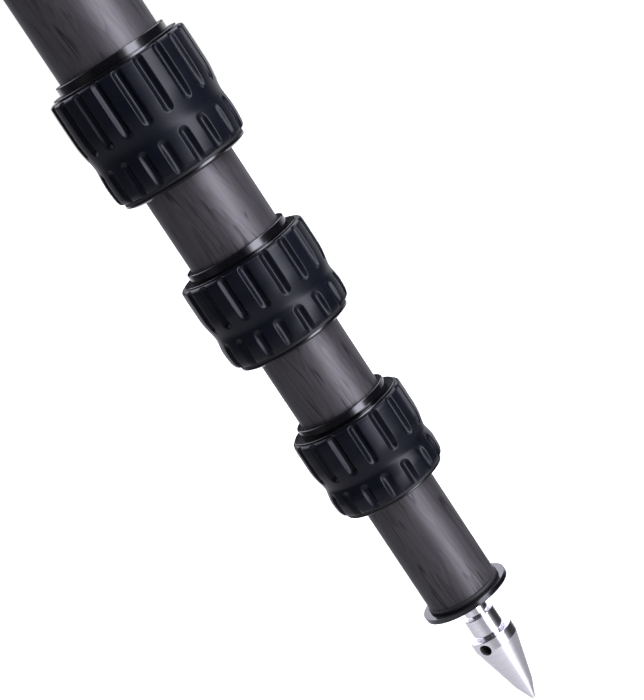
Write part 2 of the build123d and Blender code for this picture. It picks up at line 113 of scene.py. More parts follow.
# %% Camera
CAMERA_PLACE = Vector((0.0053, -0.7545, -0.2651))
DOWN_TILT = math.radians(11.5)
ROLL = math.radians(33.37)
SENSOR = 36
FOCAL_PIXELS = 2150
PICTURE_HEIGHT = 700
FOCAL = SENSOR * FOCAL_PIXELS / PICTURE_HEIGHT

level_right = Vector((1, 0, 0))
level_up = Vector((0, math.sin(DOWN_TILT), math.cos(DOWN_TILT)))
ahead = Vector((0, math.cos(DOWN_TILT), -math.sin(DOWN_TILT)))
right = math.cos(ROLL) * level_right - math.sin(ROLL) * level_up
up = math.sin(ROLL) * level_right + math.cos(ROLL) * level_up
pose = Matrix((right, up, -ahead)).transposed().to_4x4()
pose.translation = CAMERA_PLACE

lens = bpy.data.cameras.new("camera")
lens.lens = FOCAL
lens.sensor_width = SENSOR
lens.sensor_fit = "AUTO"
lens.clip_start = 0.05
lens.clip_end = 60
camera = bpy.data.objects.new("camera", lens)
camera.matrix_world = pose
scene = bpy.context.scene
scene.collection.objects.link(camera)
scene.camera = camera
scene.view_settings.view_transform = "Standard"
scene.view_settings.look = "None"
scene.view_settings.exposure = 0
scene.view_settings.gamma = 1
print("camera:", [round(v, 4) for v in CAMERA_PLACE], "lens:", round(FOCAL, 1))

# %% [markdown]
# ## Helpers for shader trees
#
# A material here is a short list of nodes. These helpers place a node, set its constant inputs and join it
# to others, so each recipe below reads from the surface coordinates to the shader.


# %% Helpers for shader trees
def new_tree(name):
    """An empty material with its output node."""
    material = bpy.data.materials.new(name)
    material.use_nodes = True
    material.node_tree.nodes.clear()
    return material, material.node_tree


def add(tree, kind, inputs=None, **settings):
    """A node of that kind. An input is a plain value, or the output socket that feeds it."""
    node = tree.nodes.new(kind)
    for key, value in settings.items():
        setattr(node, key, value)
    for key, value in (inputs or {}).items():
        if isinstance(value, bpy.types.NodeSocket):
            tree.links.new(value, node.inputs[key])
        else:
            node.inputs[key].default_value = value
    return node


def maths(tree, operation, a, b=0.0):
    """One arithmetic step; a and b are numbers or sockets."""
    return add(tree, "ShaderNodeMath", {0: a, 1: b}, operation=operation).outputs[0]


def ramp(tree, factor, stops, interpolation="LINEAR"):
    """A colour ramp through (position, colour) stops; a colour may be one grey level."""
    node = add(tree, "ShaderNodeValToRGB", {"Fac": factor})
    band = node.color_ramp
    band.interpolation = interpolation
    while len(band.elements) < len(stops):
        band.elements.new(1.0)
    for element, (position, colour) in zip(band.elements, stops):
        element.position = position
        level = (colour,) * 3 if isinstance(colour, (int, float)) else colour
        element.color = (*level, 1)
    return node.outputs["Color"]


def stretched(tree, scale=(1, 1, 1)):
    """Object coordinates, where a smaller scale on an axis draws the grain out along it."""
    place = add(tree, "ShaderNodeTexCoord").outputs["Object"]
    return add(tree, "ShaderNodeMapping", {"Vector": place, "Scale": scale}).outputs["Vector"]


def noise(tree, vector, scale, detail=3.0, roughness=0.5, distortion=0.0):
    """Fractal noise from 0 to 1."""
    inputs = {"Vector": vector, "Scale": scale, "Detail": detail}
    inputs.update({"Roughness": roughness, "Distortion": distortion})
    return add(tree, "ShaderNodeTexNoise", inputs).outputs["Fac"]


def between(tree, factor, low, high):
    """A value from low to high as the factor goes from 0 to 1."""
    inputs = {"Value": factor, "To Min": low, "To Max": high}
    return add(tree, "ShaderNodeMapRange", inputs).outputs["Result"]


def bump(tree, height, strength, distance):
    """Turns a height into a surface normal; distance is in metres."""
    inputs = {"Height": height, "Strength": strength, "Distance": distance}
    return add(tree, "ShaderNodeBump", inputs).outputs["Normal"]


def surface(tree, inputs):
    """The shader and the material's output."""
    shader = add(tree, "ShaderNodeBsdfPrincipled", inputs)
    add(tree, "ShaderNodeOutputMaterial", {"Surface": shader.outputs["BSDF"]})


print("shader helpers ready")

# %% [markdown]
# ## Studio
#
# The surroundings light the leg and are what its metal reflects, so they are painted by direction. Each
# colour ramp runs round the leg once, from behind it, past the left, the camera and the right, to behind
# again.
#
# The room at eye level is black cloth with a tall softbox on the right of the camera and the white
# backdrop. The softbox leans, so that its light moves left as the direction drops. The table, the ground
# and what lies straight below are brighter, and the steel spike mirrors them. A dark belt stands over the
# room, and above it the backdrop shines again, which gives the ledges of the locks their rims of light.
# Straight overhead is a grey ceiling. Light above 1 is a cool lilac, and the rest is only slightly blue.
#
# A direction's height goes from -1 straight below to 1 straight above, and `blend` takes heights. The camera
# itself sees only white.

# %% Studio surroundings
SOFTBOX = 12.0
BACKDROP = 2.4
LEAN = 47 / 360
LEAN_FROM, LEAN_TO = -0.3, 0.1
LILAC = (0.86, 0.87, 1.0)
HAZE = (0.975, 0.975, 1.06)
CEILING = (0.35, 0.35, 0.38)

world = bpy.data.worlds.new("studio")
scene.world = world
world.use_nodes = True
sky = world.node_tree
sky.nodes.clear()
way = add(sky, "ShaderNodeSeparateXYZ", {"Vector": add(sky, "ShaderNodeTexCoord").outputs["Generated"]})
east, north, height = way.outputs
turn = maths(sky, "ARCTAN2", east, maths(sky, "MULTIPLY", north, -1.0))
share = maths(sky, "ADD", maths(sky, "DIVIDE", turn, math.tau), 0.5)
held = maths(sky, "MAXIMUM", maths(sky, "MINIMUM", height, LEAN_TO), LEAN_FROM)
leaning = maths(sky, "ADD", share, maths(sky, "MULTIPLY", held, -LEAN))


def around(stops, where=share):
    """A ramp round the leg. A stop is the angle to the right of the camera in degrees, and its light."""
    placed = []
    for degrees, level in stops:
        tint = LILAC if level > 1 else HAZE
        placed.append((degrees / 360 + 0.5, tuple(level * c for c in tint)))
    return ramp(sky, where, placed)


room = around((
    (-180, 1.0), (-146, 0.95), (-128, 0.16), (-96, 0.08), (-62, 0.20), (-40, 0.06), (14, 0.05), (26, 0.9),
    (36, SOFTBOX), (52, SOFTBOX), (60, 0.9), (72, 0.12), (86, 0.04), (124, 0.05), (146, 0.9), (180, 1.0),
), leaning)
above = around((
    (-180, BACKDROP), (-110, BACKDROP), (-80, 0.10), (14, 0.05), (26, 0.9), (36, SOFTBOX), (56, SOFTBOX),
    (64, 0.9), (76, 0.10), (100, BACKDROP), (180, BACKDROP),
))
belt = around((
    (-180, 0.04), (14, 0.05), (26, 0.9), (36, SOFTBOX), (56, SOFTBOX), (64, 0.9), (76, 0.06), (180, 0.04),
))
table = around((
    (-180, 0.95), (-150, 0.80), (-120, 0.74), (-80, 0.88), (-60, 0.95), (-40, 0.80), (-22, 0.56), (2, 0.50),
    (12, 0.75), (20, 6.0), (44, 6.0), (52, 0.9), (62, 0.32), (74, 0.12), (88, 0.04), (134, 0.04), (164, 0.6),
    (180, 0.95),
))
ground = around((
    (-180, 0.80), (-120, 0.68), (-60, 0.74), (-20, 0.84), (0, 0.95), (12, 1.6), (50, 1.6), (62, 0.9),
    (74, 0.60), (90, 0.46), (130, 0.42), (180, 0.80),
))
nadir = around((
    (-180, 0.80), (-100, 0.78), (-20, 0.88), (6, 1.0), (20, 1.6), (78, 1.6), (92, 0.80), (112, 0.48),
    (140, 0.42), (180, 0.80),
))


def blend(low, high, start, end):
    """Goes from one light to another as the direction rises from the start height to the end height."""
    rise = add(sky, "ShaderNodeMapRange", {"Value": height, "From Min": start, "From Max": end},
               interpolation_type="SMOOTHSTEP").outputs["Result"]
    mix = add(sky, "ShaderNodeMix", {"Factor": rise}, data_type="RGBA")
    sky.links.new(low, mix.inputs[6])
    sky.links.new(high, mix.inputs[7])
    return mix.outputs[2]


painted = blend(nadir, ground, -0.90, -0.82)
painted = blend(blend(painted, table, -0.54, -0.40), room, -0.32, -0.25)
painted = blend(blend(painted, belt, 0.0, 0.05), above, 0.255, 0.315)
ceiling = add(sky, "ShaderNodeRGB").outputs[0]
ceiling.default_value = (*CEILING, 1)
painted = blend(painted, ceiling, 0.80, 0.95)
light = add(sky, "ShaderNodeBackground", {"Color": painted, "Strength": 1.0})
white = add(sky, "ShaderNodeBackground", {"Color": (1, 1, 1, 1), "Strength": 1.0})
seen = add(sky, "ShaderNodeLightPath").outputs["Is Camera Ray"]
both = add(sky, "ShaderNodeMixShader", {"Fac": seen, 1: light.outputs[0], 2: white.outputs[0]})
add(sky, "ShaderNodeOutputWorld", {"Surface": both.outputs[0]})
print("studio:", len(sky.nodes), "nodes")

# %% [markdown]
# ## Floor
#
# A pale floor far below takes the leg's shadow. It stands below the tip of the fully drawn-out leg, so no
# pose reaches it, and it glows a little for the camera alone, which keeps it as white as the backdrop.

# %% Floor
FLOOR_LEVEL = -1.36
FLOOR_WIDTH = 30
FLOOR_GLOW = 0.55

pale, tree = new_tree("pale_floor")
paper = noise(tree, stretched(tree), 3.0)
plain = add(tree, "ShaderNodeBsdfDiffuse", {"Color": ramp(tree, paper, ((0.3, 0.80), (0.7, 0.84)))})
glow = add(tree, "ShaderNodeEmission", {"Color": (1, 1, 1, 1), "Strength": FLOOR_GLOW})
lit = add(tree, "ShaderNodeAddShader", {0: plain.outputs[0], 1: glow.outputs[0]})
seen = add(tree, "ShaderNodeLightPath").outputs["Is Camera Ray"]
mixed = add(tree, "ShaderNodeMixShader", {"Fac": seen, 1: plain.outputs[0], 2: lit.outputs[0]})
add(tree, "ShaderNodeOutputMaterial", {"Surface": mixed.outputs[0]})

bpy.ops.mesh.primitive_plane_add(size=FLOOR_WIDTH, location=(0, 0, FLOOR_LEVEL))
floor = bpy.context.object
floor.name = "floor"
floor.data.materials.append(pale)
floor.visible_glossy = False
print("floor at", FLOOR_LEVEL)

# %% [markdown]
# ## Carbon tube
#
# Wound carbon fibre under a satin clear coat looks like dark wood: long grain along the tube, slightly
# twisted, with short thin wedges where one band of fibre ends on the next. The noise is read from the
# object's own coordinates, shrunk along Z, so it has no seam round the tube. The twist turns each slice of
# the coordinates by its height, by so many radians a metre. A wedge is a narrow band of levels of one noise,
# broken up by a second.

# %% Carbon tube material
TWIST = 3.0

carbon, tree = new_tree("carbon_tube")
place = add(tree, "ShaderNodeTexCoord").outputs["Object"]
z = add(tree, "ShaderNodeSeparateXYZ", {"Vector": place}).outputs["Z"]
twisted = add(tree, "ShaderNodeVectorRotate", {"Vector": place, "Angle": maths(tree, "MULTIPLY", z, TWIST)},
              rotation_type="Z_AXIS").outputs["Vector"]


def drawn_out(shrink):
    """The twisted coordinates shrunk along Z, which draws a noise out along the tube."""
    return add(tree, "ShaderNodeMapping", {"Vector": twisted, "Scale": (1, 1, shrink)}).outputs["Vector"]


fibre = noise(tree, drawn_out(0.05), 1400, detail=4.0, roughness=0.6)
slender = drawn_out(0.11)
grain = noise(tree, slender, 170, detail=2.5, roughness=0.55, distortion=0.25)
flames = ramp(tree, grain, (
    (0.26, 1.0), (0.40, 0.72), (0.42, 0.98), (0.505, 0.62), (0.525, 1.0), (0.60, 0.76), (0.62, 0.98),
    (0.75, 0.85),
))
seam = ramp(tree, noise(tree, drawn_out(0.10), 230, detail=1.0, distortion=0.1), (
    (0.474, 0.0), (0.494, 0.72), (0.506, 0.72), (0.526, 0.0),
))
broken = ramp(tree, noise(tree, stretched(tree, (1, 1, 0.4)), 120, detail=1.0), ((0.49, 0.0), (0.57, 1.0)))
wedges = maths(tree, "SUBTRACT", 1.0, maths(tree, "MULTIPLY", seam, broken))
broad = noise(tree, slender, 55, detail=2.0)
tone = maths(tree, "MULTIPLY", between(tree, fibre, 0.65, 1.40), maths(tree, "MULTIPLY", flames, wedges))
tone = maths(tree, "MULTIPLY", tone, between(tree, broad, 0.55, 1.45))
colour = ramp(tree, tone, ((0.0, (0.010, 0.009, 0.010)), (1.0, (0.076, 0.070, 0.073))))
surface(tree, {
    "Base Color": colour, "Metallic": 0.62, "Roughness": between(tree, fibre, 0.42, 0.50),
    "Normal": bump(tree, tone, 0.25, 0.00004),
})
print("carbon:", len(tree.nodes), "nodes")

# %% [markdown]
# ## Anodised aluminium
#
# The ferrules, collars, foot and knuckle are turned aluminium, anodised black and nearly glossy. Turning
# leaves rings so fine that they only soften the highlight round the part, so the bump's noise is stretched
# round the axis by squeezing the coordinates across it.

# %% Anodised aluminium material
anodised, tree = new_tree("anodised_black")
rings = noise(tree, stretched(tree, (0.05, 0.05, 1)), 9000, 2.0)
smudge = noise(tree, stretched(tree), 140, 3.0)
surface(tree, {
    "Base Color": ramp(tree, smudge, ((0.3, (0.0018, 0.0018, 0.0026)), (0.7, (0.0030, 0.0030, 0.0042)))),
    "Metallic": 0.0, "Roughness": between(tree, smudge, 0.08, 0.13), "Specular IOR Level": 0.5,
    "Normal": bump(tree, rings, 0.12, 0.00002),
})
print("anodised:", len(tree.nodes), "nodes")

# %% [markdown]
# ## Grip rubber
#
# Moulded rubber is near black with a cool sheen. A pebble of fine noise breaks the reflection up, and a
# slower one varies the sheen as handling does.

# %% Grip rubber material
rubber, tree = new_tree("grip_rubber")
pebble = noise(tree, stretched(tree), 2600, 2.0)
worn = noise(tree, stretched(tree), 70, 4.0)
surface(tree, {
    "Base Color": ramp(tree, worn, ((0.3, (0.0022, 0.0027, 0.0054)), (0.7, (0.0033, 0.0040, 0.0078)))),
    "Roughness": between(tree, worn, 0.28, 0.37), "Specular IOR Level": 0.18,
    "Normal": bump(tree, pebble, 0.10, 0.00004),
})
print("rubber:", len(tree.nodes), "nodes")

# %% [markdown]
# ## Stainless steel
#
# The spike is turned from stainless bar and left with its tool marks. They lie round the axis, so a fine ring
# noise shades its colour and bends its surface. A broad one makes it smoother in some places than in others.

# %% Stainless steel material
steel, tree = new_tree("spike_steel")
rings = noise(tree, stretched(tree, (0.03, 0.03, 1)), 5200, 3.0, 0.6)
broad = noise(tree, stretched(tree), 160, 2.0)
bright = ramp(tree, rings, ((0.3, (0.74, 0.73, 0.76)), (0.7, (0.83, 0.82, 0.85))))
surface(tree, {
    "Base Color": bright, "Metallic": 1.0, "Roughness": between(tree, broad, 0.12, 0.20),
    "Normal": bump(tree, rings, 0.15, 0.00002),
})
print("steel:", len(tree.nodes), "nodes")

# %% [markdown]
# ## Small parts' materials
#
# Seals, gaskets, collets, shims and bushes are plain rubbers and polymers, so one recipe serves them all,
# each with its own colour, sheen and grain. The gaskets' rubber is near black as painted shade, standing in
# for the shadow in the gaps where they sit. The dowel, the spring and the insert are plain steel. The wall of
# the spike's hole gets a dull brown as painted shade for the dark inside of the hole.


# %% Small parts' materials
def plain_part(name, dark, light, roughness, metallic=0.0, grain=900):
    """A moulded or drawn part: two tones of one colour, an uneven sheen and a fine surface."""
    made, tree = new_tree(name)
    mottled = noise(tree, stretched(tree), 180, 3.0)
    fine = noise(tree, stretched(tree), grain, 3.0)
    surface(tree, {
        "Base Color": ramp(tree, mottled, ((0.3, dark), (0.7, light))), "Metallic": metallic,
        "Roughness": between(tree, mottled, roughness - 0.06, roughness + 0.06),
        "Normal": bump(tree, fine, 0.15, 0.00003),
    })
    return made


seal_rubber = plain_part("seal_rubber", (0.020, 0.020, 0.021), (0.034, 0.033, 0.035), 0.62, grain=1800)
# Near-black rubber as painted shade, for the gaskets that stand in for shadowed gaps.
painted_shade_rubber = plain_part("painted_shade_rubber", (0.004, 0.004, 0.005), (0.008, 0.008, 0.009), 0.60, grain=1800)
# Dull brown as painted shade, for the dark inside of the spike's cross hole.
painted_shade_steel = plain_part("painted_shade_steel", (0.06, 0.052, 0.045), (0.10, 0.088, 0.078), 0.5, grain=2600)
collet_polymer = plain_part("collet_polymer", (0.040, 0.040, 0.044), (0.058, 0.058, 0.062), 0.45)
shim_polymer = plain_part("shim_polymer", (0.10, 0.10, 0.10), (0.14, 0.14, 0.14), 0.40)
bush_polymer = plain_part("bush_polymer", (0.26, 0.24, 0.20), (0.34, 0.32, 0.28), 0.42)
pin_steel = plain_part("pin_steel", (0.52, 0.52, 0.53), (0.66, 0.66, 0.67), 0.28, 1.0, 3000)
insert_steel = plain_part("insert_steel", (0.50, 0.49, 0.47), (0.64, 0.63, 0.60), 0.34, 1.0, 3000)
print("small parts' materials: 8")

# %% [markdown]
# ## Turning on a lathe
#
# Most of this leg is turned, so most pieces come from one helper. It takes a closed profile of radii and
# heights and turns it about the leg's axis. A sharp corner never catches light, so `soften` rounds a corner
# with a small arc, and sets a ring close to each end of the arc, which keeps the flats flat when shaded.

# %% Turning on a lathe
ABOUT_Z = (0, 1, 2)
ABOUT_X = (2, 0, 1)
ON_AXIS = 1e-6
WELD = 1e-7


def soften(corners, segments=4, support=0.08):
    """Rounds the corners (radius, height, rounding) of a closed profile, in millimetres."""
    points = []
    for i, (r, z, fillet) in enumerate(corners):
        corner = Vector((r, z))
        if not fillet:
            points.append(corner)
            continue
        back = (Vector(corners[i - 1][:2]) - corner).normalized()
        on = (Vector(corners[(i + 1) % len(corners)][:2]) - corner).normalized()
        half = back.angle(on) / 2
        centre = corner + (back + on).normalized() * fillet / math.sin(half)
        start = corner + back * fillet / math.tan(half)
        end = corner + on * fillet / math.tan(half)
        first = math.atan2(*(start - centre).yx)
        sweep = (math.atan2(*(end - centre).yx) - first + math.pi) % math.tau - math.pi
        points.append(start + back * support)
        for k in range(segments + 1):
            a = first + sweep * k / segments
            points.append(centre + fillet * Vector((math.cos(a), math.sin(a))))
        points.append(end + on * support)
    return [tuple(p) for p in points]


def finished(name, mesh, material, body, nodes, sharp=32):
    """Shades a mesh, gives it its material, and sets it on its body, in place of the nodes named."""
    made = bmesh.new()
    made.from_mesh(mesh)
    bmesh.ops.remove_doubles(made, verts=made.verts, dist=WELD)
    bmesh.ops.recalc_face_normals(made, faces=made.faces)
    made.to_mesh(mesh)
    made.free()
    mesh.shade_smooth()
    mesh.set_sharp_from_angle(angle=math.radians(sharp))
    mesh.materials.clear()
    mesh.materials.append(material)
    piece = bpy.data.objects.new(name, mesh)
    scene.collection.objects.link(piece)
    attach(piece, body)
    if nodes:
        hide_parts(*nodes)
    return piece


def turned(name, profile, steps=160, axes=ABOUT_Z):
    """A mesh made by turning a closed profile about Z, or about X by reordering x, y and z."""
    angles = np.arange(steps) * (math.tau / steps)
    rings, places, total = [], [], 0
    for r, z in profile:
        on_axis = r < ON_AXIS
        count = 1 if on_axis else steps
        ring = np.zeros((count, 3))
        if not on_axis:
            ring[:, 0] = r * np.cos(angles)
            ring[:, 1] = r * np.sin(angles)
        ring[:, 2] = z
        places.append(ring[:, axes] * MM)
        rings.append((total, count))
        total += count
    faces = []
    for (a, na), (b, nb) in zip(rings, rings[1:] + rings[:1]):
        if na == nb == 1:
            continue
        for k in range(steps):
            j = (k + 1) % steps
            corners = [a + k % na, a + j % na, b + j % nb, b + k % nb]
            faces.append(tuple(dict.fromkeys(corners)))
    mesh = bpy.data.meshes.new(name)
    mesh.from_pydata(np.vstack(places).tolist(), [], faces)
    return mesh


def rod(name, radius, half, steps=40, axes=ABOUT_Z):
    """A cylinder about the origin, to cut a hole with. Its half length only has to reach past the piece."""
    return turned(name, [(0, -half), (radius, -half), (radius, half), (0, half)], steps, axes)


def shifted(mesh, y, z):
    """The mesh moved by that many millimetres along Y and Z."""
    mesh.transform(Matrix.Translation((0, y * MM, z * MM)))
    return mesh


def applied(host):
    """The mesh that an object's modifiers make."""
    graph = bpy.context.evaluated_depsgraph_get()
    return bpy.data.meshes.new_from_object(host.evaluated_get(graph))


def carve(mesh, cutters, operation="DIFFERENCE"):
    """The mesh with the cutter meshes taken away from it, joined to it, or the part that they share."""
    host = bpy.data.objects.new("host", mesh)
    scene.collection.objects.link(host)
    tools = []
    for cutter in cutters:
        tool = bpy.data.objects.new("tool", cutter)
        scene.collection.objects.link(tool)
        cut = host.modifiers.new("cut", "BOOLEAN")
        cut.operation = operation
        cut.solver = "EXACT"
        cut.object = tool
        tools.append(tool)
    result = applied(host)
    for spent in [host, *tools]:
        bpy.data.objects.remove(spent)
    result.name = mesh.name
    return result


def slab(size, centre):
    """A box mesh, in millimetres."""
    made = bmesh.new()
    bmesh.ops.create_cube(made, size=1.0)
    for vert in made.verts:
        vert.co = Vector([(vert.co[i] * size[i] + centre[i]) * MM for i in range(3)])
    mesh = bpy.data.meshes.new("slab")
    made.to_mesh(mesh)
    made.free()
    return mesh


print("lathe ready")

# %% [markdown]
# ## Tubes
#
# A tube is wound on a mandrel and ground to size, so it is a plain sleeve with a hair of rounding at its
# ends. Tubes 1 to 3 have two keyways along the bore, where the next section's guide shims keep it from
# turning.

# %% Tubes
TUBE_1_TOP = -17.0
TOP_GAP = 3.0
CLOSED_GAP = 1.0
BOND_LENGTH = 14.0
KEYWAY_DEPTH = 0.65
KEYWAY_WIDTH = 3.4
KEYWAY_PAST_END = 1.0
TUBE_EDGE = 0.2
HOLDER = {1: "upper_section", 2: "section_2", 3: "section_3", 4: "section_4"}

tube_top = {1: TUBE_1_TOP}
for n in (2, 3, 4):
    tube_top[n] = tube_top[n - 1] - TOP_GAP - (SHOWN[n] - CLOSED_GAP)
tube_foot = {n: lock_top[n] - BOND_LENGTH for n in LOCKS}
tube_foot[4] = foot_top

for n in TUBES:
    outer, bore = TUBE_RADIUS[n], TUBE_RADIUS[n] - TUBE_WALL
    low, high = tube_foot[n], tube_top[n]
    mesh = turned(f"tube_{n}_turned", soften([
        (bore, low, 0), (outer, low, TUBE_EDGE), (outer, high, TUBE_EDGE), (bore, high, 0),
    ]))
    if n in LOCKS:
        length = high - low + 2 * KEYWAY_PAST_END
        keyways = slab((2 * (bore + KEYWAY_DEPTH), KEYWAY_WIDTH, length), (0, 0, (low + high) / 2))
        mesh = carve(mesh, [keyways])
    finished(f"carbon_sleeve_{n}", mesh, carbon, HOLDER[n], [f"tube_{n}"])
    print(f"tube {n}:", len(mesh.polygons), "faces")

# %% [markdown]
# ## Ferrules
#
# A ferrule is glued over each tube's lower end. Its threaded length is hidden in the lock, and only a glossy
# lip shows above the grip. The lip's rounded upper edge is what carries the small bright highlight. Two slots
# across its lower end take the lugs that keep the collet from turning.

# %% Ferrules
LUG_SLOT_WIDTH = 4.24
LUG_SLOT_HEIGHT = 2.72
LUG_SLOT_REACH = 3.0

for n in LOCKS:
    r, top = TUBE_RADIUS[n], lock_top[n]
    under_lip = top - LIP_HEIGHT
    end = top - FERRULE_LENGTH
    mesh = turned(f"ferrule_{n}_turned", soften([
        (r + BOND_GAP, top, 0), (r + LIP_WALL, top, 0.3), (r + LIP_WALL, under_lip, 0.1),
        (r + THREAD_WALL, under_lip, 0), (r + THREAD_WALL, end, 0), (r + BOND_GAP, end, 0),
    ]))
    through = 2 * (r + LUG_SLOT_REACH)
    lug_slots = slab((LUG_SLOT_WIDTH, through, LUG_SLOT_HEIGHT), (0, 0, end + LUG_SLOT_HEIGHT / 2))
    mesh = carve(mesh, [lug_slots])
    finished(f"ferrule_lip_{n}", mesh, anodised, HOLDER[n], [f"ferrule_{n}"])
    print(f"ferrule {n}:", len(mesh.polygons), "faces")

# %% [markdown]
# ## Twist collars
#
# The collar is the metal heart of the lock. It screws up the ferrule, and its inner taper closes the collet
# round the next tube. Its rim shows above the rubber, and its foot ring below, with a wide chamfer. Between
# the rubber and the bright part of that ring lies a matt, near-black gasket. Its dark rubber is painted
# shade: it stands in for the shadow in the gap there.

# %% Twist collars
GASKET_HEIGHT = 1.2
GASKET_DEPTH = 0.8
GASKET_SUNK = 0.05
COLLET_TOP_WALL = 1.55
COLLET_END_WALL = 0.85
COLLET_TO_SEAL = 1.0
MOUTH_GAP = 0.7

for n in LOCKS:
    above, below = TUBE_RADIUS[n], TUBE_RADIUS[n + 1]
    top = lock_top[n] - LIP_HEIGHT - FACE_GAP
    rim_foot = top - RIM_HEIGHT[n]
    foot = lock_top[n] - lock_height[n]
    shelf = foot + RING_CHAMFER + RING_HEIGHT[n]
    gasket_foot = shelf - GASKET_HEIGHT
    ring = above + RING_WALL[n]
    groove = ring - GASKET_DEPTH
    thread = above + THREAD_WALL + RUNNING_GAP
    thread_end = lock_top[n] - FERRULE_LENGTH - FACE_GAP
    seal_foot = foot + MOUTH_LIP
    seat = seal_foot + SEAL_HEIGHT + FACE_GAP
    collet_end = seat + COLLET_TO_SEAL
    taper = (COLLET_TOP_WALL - COLLET_END_WALL) / (lock_top[n] - FERRULE_LENGTH - collet_end)
    cone_foot = below + COLLET_END_WALL - taper * COLLET_TO_SEAL + RUNNING_GAP
    cone_top = below + COLLET_TOP_WALL + RUNNING_GAP
    mesh = turned(f"collar_{n}_turned", soften([
        (thread, top, 0), (above + RIM_WALL, top, 0.2), (above + RIM_WALL, rim_foot, 0.1),
        (above + CORE_WALL, rim_foot, 0), (above + CORE_WALL, shelf, 0), (groove, shelf, 0),
        (groove, gasket_foot, 0), (ring, gasket_foot, 0.1), (ring, foot + RING_CHAMFER, 0.2),
        (ring - RING_INSET, foot, 0.2), (below + MOUTH_GAP, foot, 0.2), (below + MOUTH_GAP, seal_foot, 0),
        (below + SEAL_WALL, seal_foot, 0), (below + SEAL_WALL, seat, 0), (cone_foot, seat, 0),
        (cone_top, thread_end, 0), (thread, thread_end, 0),
    ]))
    finished(f"collar_ring_{n}", mesh, anodised, f"lock_{n}", [f"twist_collar_{n}"])
    print(f"collar {n}:", len(mesh.polygons), "faces")
    # A near-black ring in the groove under the rubber: painted shade for the shadowed gap.
    mesh = turned(f"gasket_{n}_turned", soften([
        (groove + BOND_GAP, gasket_foot + BOND_GAP, 0), (ring - GASKET_SUNK, gasket_foot + BOND_GAP, 0.15),
        (ring - GASKET_SUNK, shelf - HAIR, 0.15), (groove + BOND_GAP, shelf - HAIR, 0),
    ]))
    finished(f"gasket_{n}", mesh, painted_shade_rubber, f"lock_{n}", [])

# %% [markdown]
# ## Grip blanks
#
# A grip starts as a turned blank: straight at the top, drawn in to a waist at two thirds of its height, and
# swelling again to a lower bulge. The places below are shares of its height, counted from the top, and the
# two powers set how early the wall draws in and swells. The outer wall has a ring every third of a
# millimetre, so that there are vertices for the grooves to move.

# %% Grip blanks
LEAD_IN_TO = 0.12
STRAIGHT_TO = 0.33
WAIST_AT = 0.645
BULGE_AT = 0.82
DRAWN_IN_POWER = 1.35
SWOLLEN_POWER = 0.75
LEAD_IN = 0.12
FOOT_DRAFT = 0.6
ROUND_TOP = 1.2
ROUND_FOOT = 1.1
FLAT_RING = 0.6
ROUND_STEPS = 8
RING_STEP = 0.34
STEPS_PER_GROOVE = 30


def eased(a, b, t):
    """Smooth step from a to b as t goes from 0 to 1."""
    t = min(max(t, 0.0), 1.0)
    return a + (b - a) * t * t * (3 - 2 * t)


def grip_wall(n, share):
    """Radius of the outer wall of grip n at a share of its height from the top."""
    base = TUBE_RADIUS[n] - HAIR
    if share < LEAD_IN_TO:
        return base + GRIP_WALL[n] - LEAD_IN * (1 - share / LEAD_IN_TO)
    if share < WAIST_AT:
        drawn_in = max((share - STRAIGHT_TO) / (WAIST_AT - STRAIGHT_TO), 0) ** DRAWN_IN_POWER
        return base + eased(GRIP_WALL[n], WAIST_WALL[n], drawn_in)
    if share < BULGE_AT:
        swollen = ((share - WAIST_AT) / (BULGE_AT - WAIST_AT)) ** SWOLLEN_POWER
        return base + eased(WAIST_WALL[n], BULGE_WALL[n], swollen)
    return base + BULGE_WALL[n] - FOOT_DRAFT * ((share - BULGE_AT) / (1 - BULGE_AT)) ** 2


def quarter_round(radius, height, rounding, first):
    """Points of a quarter circle about that centre, from the angle first in degrees to 90 degrees less."""
    points = []
    for k in range(ROUND_STEPS + 1):
        a = math.radians(first - k * 90 / ROUND_STEPS)
        points.append((radius + rounding * math.cos(a), height + rounding * math.sin(a)))
    return points


def grip_profile(n):
    """Closed profile of grip n, from its bore over the top and down the outer wall."""
    top = lock_top[n] - LIP_HEIGHT - FACE_GAP - RIM_HEIGHT[n]
    foot = top - GRIP_HEIGHT[n]
    core = TUBE_RADIUS[n] + CORE_WALL + BOND_GAP
    at_top, at_foot = grip_wall(n, 0) - ROUND_TOP, grip_wall(n, 1) - ROUND_FOOT
    points = [(core, foot), (core, top), (at_top - FLAT_RING, top)]
    points += quarter_round(at_top, top - ROUND_TOP, ROUND_TOP, 90)
    wall = GRIP_HEIGHT[n] - ROUND_TOP - ROUND_FOOT
    count = round(wall / RING_STEP)
    for k in range(1, count):
        z = top - ROUND_TOP - wall * k / count
        points.append((grip_wall(n, (top - z) / GRIP_HEIGHT[n]), z))
    points += quarter_round(at_foot, foot + ROUND_FOOT, ROUND_FOOT, 0)
    return points


blanks = {}
for n in LOCKS:
    blanks[n] = turned(f"grip_{n}_blank", grip_profile(n), steps=GROOVES[n] * STEPS_PER_GROOVE)
    print(f"grip {n} blank:", len(blanks[n].vertices), "vertices")

# %% [markdown]
# ## Grooves by a rule
#
# The mould's grooves repeat round the grip, so Geometry Nodes cuts them. For each vertex the tree works out
# how far round its own groove it is and how far past the groove's end, as one distance to a slot with
# rounded ends. That distance gives a round section, deepest on the centre line, and the vertex moves
# inwards by it. The floor keeps its radius, so a groove grows shallower as the wall is drawn in to the
# waist, where its round end closes it. The upper row starts above the top of the grip, and the lower row
# runs out at its foot.
#
# The rule needs few numbers: how many grooves, where the first one is, the slot's width, and for each row the
# floor's radius and the heights of its ends. They are the tree's named inputs, so one tree serves all grips.

# %% Grooves by a rule
GROOVE_HALF_WIDTH = 1.95
UPPER_BELOW_WAIST = 0.35
LOWER_BELOW_BULGE = 1.3
UPPER_ABOVE_TOP = 0.4
UPPER_TO = 0.53
LOWER_FROM = 0.675
SECTION_POWER = 1.15
FAR_BELOW = -1.0


